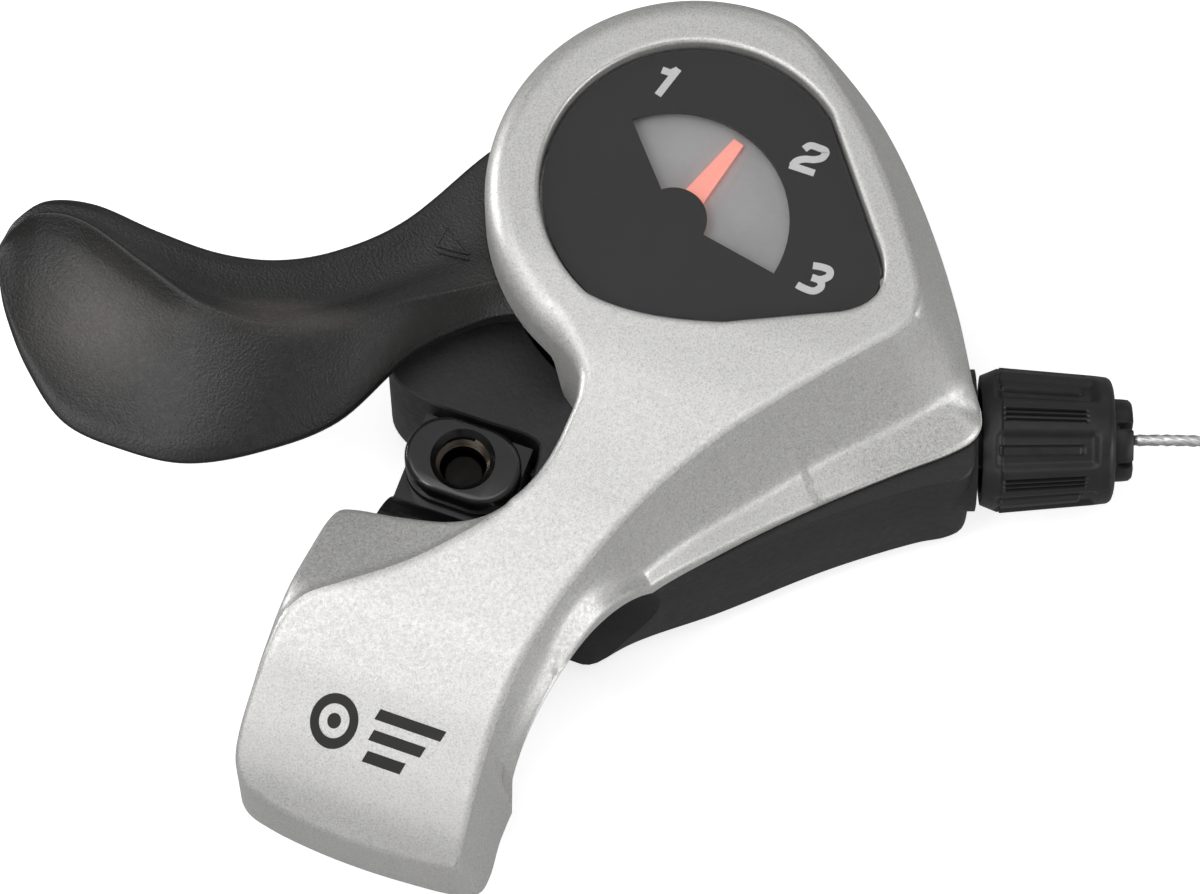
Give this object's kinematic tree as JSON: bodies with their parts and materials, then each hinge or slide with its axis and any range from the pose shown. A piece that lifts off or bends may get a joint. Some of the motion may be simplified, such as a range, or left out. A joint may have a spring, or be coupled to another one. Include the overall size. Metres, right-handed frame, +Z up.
{
  "type": "bicycle thumb shifter",
  "caption": "Left-hand thumb shifter with a dished lever, a needle dial under a clear window, a handlebar clamp and a barrel adjuster with its inner cable.",
  "frame": {"origin": "on the handlebar's axis, at the middle of the clamp band's width", "axes": "+X along the handlebar towards the stem, +Y forwards, +Z up, out of the dial and along the lever's pivot"},
  "size_m": [0.1555, 0.0873, 0.0338],
  "materials": {
    "silver_cover": "silver metallic lacquer, satin",
    "black_plastic": "fine moulded grain",
    "lever_plastic": "leather-like moulded grain, satin",
    "adjuster_plastic": "rubbery satin",
    "black_steel": "glossy black",
    "steel": "machined",
    "brass": "machined",
    "nylon": "moulded natural nylon",
    "dial_black": "smooth black print",
    "dial_grey": "smooth grey print",
    "needle_red": "smooth red",
    "clear_window": "polished clear plastic",
    "wire_steel": "stranded stainless wire"
  },
  "bodies": {
    "housing": {"top_cover": "silver_cover", "dial_backplate": "dial_grey", "dial_face": "dial_black", "dial_lens": "clear_window", "base_housing": "black_plastic", "cover_screw_1": "steel", "cover_screw_2": "steel", "cover_screw_3": "steel", "clamp_band": "black_steel", "clamp_nut": "black_steel", "clamp_bolt": "steel", "bolt_washer": "steel", "pivot_axle": "steel", "thrust_washer": "steel", "spring_washer": "steel", "lock_nut": "steel", "detent_plate": "steel", "inner_wire": "wire_steel", "wound_wire": "wire_steel", "adjuster_spring": "steel", "adjuster_washer": "steel", "cable_lead": "wire_steel", "cable_coil": "wire_steel", "coil_tie": "black_plastic", "cable_end_cap": "steel"},
    "lever": {"thumb_lever": "lever_plastic", "cable_drum": "black_plastic", "hub_bush": "brass", "ring_gear": "nylon", "detent_ball": "steel", "detent_spring": "steel", "cable_nipple": "steel"},
    "indicator": {"indicator_pinion": "nylon", "indicator_needle": "needle_red"},
    "adjuster": {"adjuster_barrel": "adjuster_plastic", "adjuster_bolt": "adjuster_plastic"}
  },
  "joints": [
    {"name": "lever_swing", "type": "hinge", "parent": "housing", "child": "lever", "pos_m": [0.0132, 0.0458, 0], "axis": [0, 0, 1], "range_deg": [-39, 9], "deforming": ["wound_wire"]},
    {"name": "needle_turn", "type": "hinge", "parent": "housing", "child": "indicator", "pos_m": [0.01209, 0.04238, 0], "axis": [0, 0, 1], "range_deg": [-78.5, 18.5]},
    {"name": "adjuster_turn", "type": "hinge", "parent": "housing", "child": "adjuster", "pos_m": [0.04515, 0.03868, -0.001], "axis": [0.9397, 0.342, 0], "range_deg": [0, 720]}
  ],
  "couplings": [
    {"joint": "needle_turn", "follows": "lever_swing", "ratio": 2}
  ]
}
